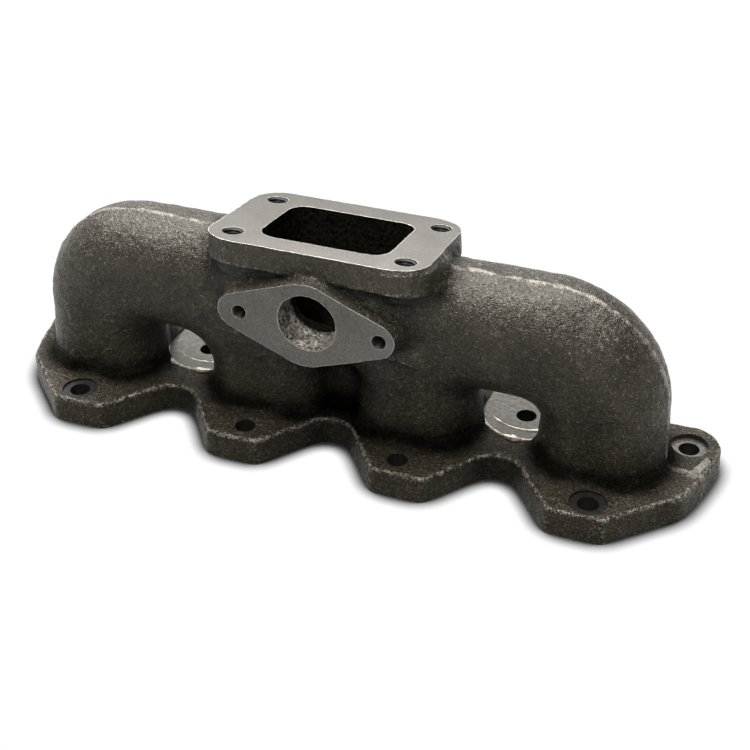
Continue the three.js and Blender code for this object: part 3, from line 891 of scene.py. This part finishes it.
def passage_skin():
    """The rough inside of the gas passages: painted light near the wastegate bore's mouth, painted shade
    near black beyond it.
    """
    n = Nodes("passage_skin")
    grain = n.noise(1.6, 4, 0.6)
    patch = n.noise(6, 3)
    # Painted light and shade: a lit tone near the wastegate bore's mouth, near black and without specular
    # further in.
    inside = n.span(n.position(1), GATE_FACE_Y + 13, GATE_FACE_Y + 17)
    light = n.blend(n.span(grain, 0.42, 0.60), grey(0.012, 0.16), grey(0.30, 0.12))
    light = n.blend(n.span(patch, 0.4, 0.6, 0.6, 0.0), light, grey(0.006, 0.1))
    dark = n.blend(n.span(grain, 0.35, 0.7), grey(0.001, 0.18), grey(0.008, 0.16))
    n.feed(n.shader.inputs["Specular IOR Level"], n.span(inside, 0, 1, 0.4, 0.0))
    return n.finish(n.blend(inside, light, dark), 0.7, 0.0, n.bump(grain, 0.9, 1.0))


def milled_face(name, dark, light, rim_wear_and_highlight_tone):
    """Face-milled iron: satin with fine streaks, with painted light brighter towards the front right, and
    edges worn bright with a painted highlight.
    """
    n = Nodes(name)
    soft = n.noise(18, 3)
    streak = n.noise(0.5, 2, 0.5, (0.06, 1.0, 1.0))
    grain = n.noise(0.8, 3, 0.7)
    colour = n.blend(n.span(soft, 0.3, 0.7), grey(dark, 0.07), grey(light, 0.06))
    colour = n.blend(n.span(grain, 0.40, 0.62, 0, 0.55), colour, grey(dark / 2.5, 0.09))
    # Painted light: colour scaled brighter towards the front right, standing in for the reflection's sweep
    # across the face.
    painted_light_sweep = n.math("SUBTRACT", n.math("MULTIPLY", n.position(0), 0.5), n.position(1))
    colour = n.blend(1.0, colour, n.span(painted_light_sweep, -70, 60, 0.84, 1.34), "MULTIPLY")
    bevel = n.add("ShaderNodeBevel", samples=6)
    bevel.inputs["Radius"].default_value = 0.7 * MM
    facing = n.add("ShaderNodeVectorMath", operation="DOT_PRODUCT")
    n.feed(facing.inputs[0], bevel.outputs["Normal"])
    n.feed(facing.inputs[1], n.add("ShaderNodeNewGeometry").outputs["Normal"])
    # Edge rim: partly a worn bright edge, partly a painted highlight on the edges that the bevel finds.
    rim = n.span(facing.outputs["Value"], 0.99, 0.90)
    broken = n.span(n.noise(3.2, 3), 0.38, 0.52, 0.35, 1.0)
    colour = n.blend(n.math("MULTIPLY", rim, broken), colour, grey(rim_wear_and_highlight_tone, 0.02))
    roughness = n.span(streak, 0.3, 0.7, 0.38, 0.50)
    return n.finish(colour, roughness, 0.85, n.bump(streak, 0.03, 0.6, bevel.outputs["Normal"]))


def seat_metal(name, dark, light):
    """Seats and pads cut with a rougher tool: duller than the milled faces, with chatter marks."""
    n = Nodes(name)
    grain = n.noise(0.9, 3)
    patch = n.noise(2.2, 3)
    chatter = n.noise(1.6, 2, 0.5, (0.25, 1.0, 1.0))
    colour = n.blend(n.span(patch, 0.35, 0.65), grey(dark, 0.11), grey(light, 0.09))
    colour = n.blend(n.span(grain, 0.42, 0.66, 0, 0.6), colour, grey(dark / 3, 0.1))
    return n.finish(colour, 0.5, 0.7, n.bump(chatter, 0.25, 0.8))


def drilled_wall():
    """Walls of drilled and tapped holes."""
    n = Nodes("drilled_wall")
    rings = n.noise(0.35, 2, 0.5, (0.1, 0.1, 1.0))
    # Dark tone: partly the iron's own, partly painted shade inside the holes.
    colour = n.blend(rings, grey(0.012, 0.08), grey(0.06, 0.05))
    return n.finish(colour, 0.45, 0.8, n.bump(rings, 0.05, 0.5))


def floor_material():
    """A table that lights the casting as a grey one does but looks white to the camera, with a painted
    contact shadow only where it meets the casting.
    """
    n = Nodes("floor")
    colour = n.blend(n.span(n.noise(300, 2), 0.3, 0.7, 0, 0.2), grey(0.35), grey(0.34))
    n.shader.inputs["Specular IOR Level"].default_value = 0.1
    material = n.finish(colour, 0.9, 0.0)

    contact_shadow_ao = n.add("ShaderNodeAmbientOcclusion", samples=16)
    contact_shadow_ao.inputs["Distance"].default_value = CONTACT_REACH * MM
    glow = n.add("ShaderNodeEmission")
    # Painted shadow: the camera-only glow darkens with ambient occlusion near the casting.
    n.feed(glow.inputs["Color"], n.span(contact_shadow_ao.outputs["AO"], 0.54, 0.90, 0.02, 1.03))
    output = next(node for node in material.node_tree.nodes if node.type == "OUTPUT_MATERIAL")
    seen = n.add("ShaderNodeMixShader")
    n.feed(seen.inputs[0], n.add("ShaderNodeLightPath").outputs["Is Camera Ray"])
    n.feed(seen.inputs[1], n.shader.outputs[0])
    n.feed(seen.inputs[2], glow.outputs[0])
    n.feed(output.inputs["Surface"], seen.outputs[0])
    return material


# ---------------------------------------------------------------------------------------
# Surface data the materials read
# ---------------------------------------------------------------------------------------

def mesh_points(mesh):
    flat = np.empty(len(mesh.vertices) * 3, np.float32)
    mesh.vertices.foreach_get("co", flat)
    return flat.reshape(-1, 3).astype(float) / MM


def store(mesh, name, values):
    attribute = mesh.attributes.new(name, "FLOAT", "POINT")
    attribute.data.foreach_set("value", np.asarray(values, np.float32))


def hemmed_in(points):
    """How much of the view outwards, over a few fixed directions and two reaches, the casting blocks."""
    outward = gradient(casting_body, points)
    outward /= np.maximum(np.linalg.norm(outward, axis=1), 1e-6)[:, None]
    blocked = 0
    directions = [(0, 0, 0), (1, 0, 0), (-1, 0, 0), (0, 1, 0), (0, -1, 0), (0, 0, 1), (0, 0, -1)]
    for lean in directions:
        way = outward + 0.9 * np.array(lean)
        way /= np.maximum(np.linalg.norm(way, axis=1), 0.3)[:, None]
        for reach in (4, 11):
            clear = casting_body(*(points + reach * way).T)
            blocked = blocked + np.clip(1 - clear / reach, 0, 1)
    return blocked / (2 * len(directions))


def store_wear_and_shade(mesh):
    """Wear is high on convex edges and along the parting line; the painted crevice shade is high where the
    surface is hemmed in.
    """
    points = mesh_points(mesh)
    x, y, z = points.T
    here = raw_casting(x, y, z)
    reach = 1.3
    around = sum(raw_casting(x + dx, y + dy, z + dz) + raw_casting(x - dx, y - dy, z - dz)
                 for dx, dy, dz in np.eye(3) * reach)
    curvature = np.clip((around - 6 * here) / reach * 0.9, 0, 1)
    store(mesh, "wear", np.clip(0.62 * curvature + 1.1 * parting_ridge(x, y, z), 0, 1))
    # Painted crevice shade, weakened just behind the wastegate face.
    open_front = np.clip((y - GATE_FACE_Y - 8) / 8, 0.2, 1)
    store(mesh, "crevice_shade", np.clip(hemmed_in(points) * 2.5 - 0.42, 0, 1) * open_front)


def set_normals(mesh):
    """Gives cast surfaces the normals of their fields, so that neighbouring pieces shade as one skin."""
    points = mesh_points(mesh)
    fields = {"cast_skin": (raw_casting, 1), "passage_skin": (gas_passages, -1)}
    by_slot = {}
    for index, material in enumerate(mesh.materials):
        for name, (field, sign) in fields.items():
            if material is not None and material.name == name:
                by_slot[index] = (field, sign)
    corner_vertex = np.empty(len(mesh.loops), np.int32)
    mesh.loops.foreach_get("vertex_index", corner_vertex)
    totals = np.empty(len(mesh.polygons), np.int32)
    mesh.polygons.foreach_get("loop_total", totals)
    slots = np.empty(len(mesh.polygons), np.int32)
    mesh.polygons.foreach_get("material_index", slots)
    flat = np.empty(len(mesh.polygons) * 3, np.float32)
    mesh.polygons.foreach_get("normal", flat)
    normals = np.repeat(flat.reshape(-1, 3).astype(float), totals, axis=0)
    face_normals = normals.copy()
    corner_slot = np.repeat(slots, totals)
    for slot, (field, sign) in by_slot.items():
        chosen = corner_slot == slot
        used, back = np.unique(corner_vertex[chosen], return_inverse=True)
        slope = sign * gradient(field, points[used])
        slope /= np.maximum(np.linalg.norm(slope, axis=1), 1e-6)[:, None]
        slope = slope[back]
        agrees = (slope * face_normals[chosen]).sum(1) > 0.6
        normals[chosen] = np.where(agrees[:, None], slope, face_normals[chosen])
    mesh.polygons.foreach_set("use_smooth", np.ones(len(mesh.polygons), bool))
    mesh.normals_split_custom_set(normals.tolist())


# ---------------------------------------------------------------------------------------
# Stage, light and camera
# ---------------------------------------------------------------------------------------

FLOOR_SIZE = 8
SKY_STRENGTH = 0.16
CAMERA_TARGET = Vector((12.5, 0, 29.5)) * MM
CAMERA_DISTANCE = 0.6996
CAMERA_AZIMUTH = math.radians(20.51)
CAMERA_ELEVATION = math.radians(33.84)
CAMERA_LENS = 68.5


def soft_sun(name, towards, width_degrees, strength):
    """A distant softbox: light from the direction towards, spread over width_degrees."""
    light = bpy.data.lights.new(name, "SUN")
    light.angle = math.radians(width_degrees)
    light.energy = strength
    lamp = bpy.data.objects.new(name, light)
    lamp.rotation_euler = Vector(towards).to_track_quat("Z", "Y").to_euler()
    bpy.context.scene.collection.objects.link(lamp)


def build_stage():
    bpy.ops.mesh.primitive_plane_add(size=FLOOR_SIZE, location=(0, 0, 0))
    floor = bpy.context.object
    floor.name = "floor"
    floor.data.materials.append(floor_material())
    world = bpy.data.worlds.new("studio")
    world.use_nodes = True
    sky = world.node_tree.nodes["Background"]
    sky.inputs["Color"].default_value = (1, 1, 1, 1)
    sky.inputs["Strength"].default_value = SKY_STRENGTH
    bpy.context.scene.world = world
    bpy.context.scene.view_settings.view_transform = "Standard"
    soft_sun("overhead", (-0.28, 0.36, 1.0), 84, 10.5)
    soft_sun("front_fill", (0.25, -0.75, 1.0), 50, 1.8)


def build_camera():
    camera = bpy.data.objects.new("camera", bpy.data.cameras.new("camera"))
    camera.data.lens = CAMERA_LENS
    camera.data.clip_end = 20
    level = math.cos(CAMERA_ELEVATION) * CAMERA_DISTANCE
    camera.location = CAMERA_TARGET + Vector((
        level * math.sin(CAMERA_AZIMUTH), -level * math.cos(CAMERA_AZIMUTH),
        math.sin(CAMERA_ELEVATION) * CAMERA_DISTANCE))
    camera.rotation_euler = (math.pi / 2 - CAMERA_ELEVATION, 0, CAMERA_AZIMUTH)
    bpy.context.scene.collection.objects.link(camera)
    bpy.context.scene.camera = camera


# ---------------------------------------------------------------------------------------
# The named pieces
# ---------------------------------------------------------------------------------------

FAR = 400
SEAM_LIFT = 1.0


def region_blocks():
    """The CAD frame's regions, in the order they are taken from the casting."""
    flange_top = FLANGE_TOP + SEAM_LIFT
    runner_top = RUNNER_3_HIGH[2]
    neck_floor = node_box("turbo_neck")[0][2]
    left, right = node_box("collector")[0][0], node_box("collector")[1][0]
    gate_back = GATE_HIGH[1]
    neck_back = node_box("wastegate_neck")[1][1]
    first_end = RUNNER_1_HIGH[0]
    last_start = RUNNER_4_LOW[0]
    rim = 1.5
    half = (TURBO_LENGTH / 2 + rim, TURBO_DEPTH / 2 + rim)
    return [
        ("head_flange", (-FAR, -FAR, -FAR), (FAR, FAR, flange_top), None),
        ("turbo_flange", (-half[0], -half[1], -TURBO_THICKNESS), (*half, FAR), turbo_place()),
        ("wastegate_flange", (left, -FAR, 0), (right, gate_back, FAR), None),
        ("wastegate_neck", (left, gate_back, 0), (right, neck_back, FAR), None),
        ("runner_1", (-FAR, -FAR, 0), (first_end, FAR, FAR), None),
        ("runner_4", (last_start, -FAR, 0), (FAR, FAR, FAR), None),
        ("runner_2", (first_end, -FAR, 0), (0, FAR, runner_top), None),
        ("runner_3", (0, -FAR, 0), (last_start, FAR, runner_top), None),
        ("log_left", (first_end, -FAR, 0), (left, FAR, FAR), None),
        ("log_right", (right, -FAR, 0), (last_start, FAR, FAR), None),
        ("collector", (left, -FAR, 0), (right, FAR, neck_floor), None),
        ("turbo_neck", (left, -FAR, neck_floor), (right, FAR, FAR), None),
    ]


def divide(casting):
    """Cuts the casting into one closed piece for each CAD node."""
    pieces = {}
    for node, low, high, place in region_blocks():
        region = block("region", low, high, place)
        region.data.materials.append(casting.data.materials[0])
        piece = casting.copy()
        piece.data = casting.data.copy()
        piece.name = f"{node}_casting"
        bpy.context.scene.collection.objects.link(piece)
        boolean(piece, "INTERSECT", region)
        boolean(casting, "DIFFERENCE", region)
        bpy.data.objects.remove(region)
        pieces[node] = piece
    bpy.data.objects.remove(casting)
    return pieces


def build_manifold():
    materials = {
        "skin": cast_skin(),
        "passage": passage_skin(),
        "milled": milled_face("milled_face", 0.12, 0.15, 0.9),
        # The wastegate face is a darker copy of the milled face: painted shade for the dimmer reflection it
        # shows.
        "gate": milled_face("gate_face", 0.076, 0.097, 0.55),
        "seat": seat_metal("seat_metal", 0.008, 0.018),
        "counterbore": seat_metal("counterbore_metal", 0.03, 0.07),
        "pad": seat_metal("pad_metal", 0.028, 0.066),
        "burr": seat_metal("burr_metal", 0.40, 0.70),
        "scar": seat_metal("scar_metal", 0.06, 0.14),
        "drilled": drilled_wall(),
    }
    casting = machined_casting(materials)
    for node, piece in divide(casting).items():
        store_wear_and_shade(piece.data)
        set_normals(piece.data)
        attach(piece, "root")
        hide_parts(node)


build_manifold()
build_stage()
build_camera()
